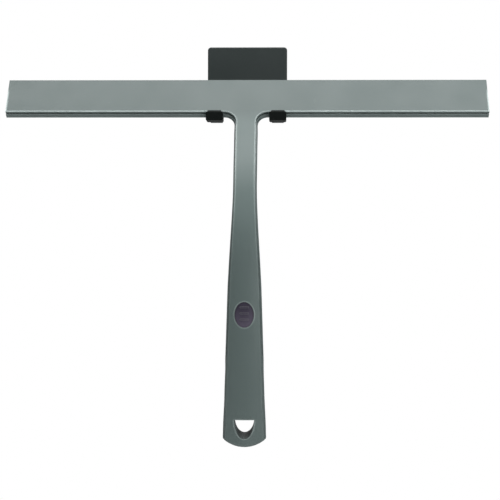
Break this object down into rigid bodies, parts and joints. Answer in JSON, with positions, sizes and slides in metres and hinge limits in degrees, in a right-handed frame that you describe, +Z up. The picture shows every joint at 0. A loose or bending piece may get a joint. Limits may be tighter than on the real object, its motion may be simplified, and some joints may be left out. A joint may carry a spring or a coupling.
{
  "type": "window cleaning squeegee",
  "caption": "Window squeegee with a flat bar head, a bent crowned handle with a hanging hole, a replaceable silicone blade and a wall holder with two hooks.",
  "frame": {"origin": "centre of the holder's adhesive back face, in the wall plane", "axes": "+Z up, +Y into the wall, +X to the right as seen from the room, along the head"},
  "size_m": [0.32, 0.0642, 0.265],
  "materials": {
    "shell_plastic": "satin grey-green moulded plastic",
    "holder_plastic": "satin dark grey moulded plastic",
    "hook_rubber": "matt black soft sleeve",
    "pad_rubber": "matt purple-grey soft insert",
    "blade_silicone": "matt dark silicone",
    "rail_aluminium": "satin extruded",
    "steel": "plain",
    "foam_tape": "pale foam with an adhesive skin"
  },
  "bodies": {
    "holder": {"hook_plate": "holder_plastic", "left_hook_pad": "hook_rubber", "right_hook_pad": "hook_rubber", "adhesive_pad": "foam_tape"},
    "squeegee": {"front_shell": "shell_plastic", "rear_shell": "shell_plastic", "thumb_pad": "pad_rubber", "blade_rail": "rail_aluminium", "stiffener_bar": "steel", "head_screws": "steel", "grip_screws": "steel"},
    "blade": {"silicone_blade": "blade_silicone"}
  },
  "joints": [
    {"name": "squeegee_lift", "type": "slide", "parent": "holder", "child": "squeegee", "axis": [0, 0, 1], "range_m": [0, 0.07]},
    {"name": "blade_slide", "type": "slide", "parent": "squeegee", "child": "blade", "axis": [1, 0, 0], "range_m": [0, 0.33]}
  ]
}
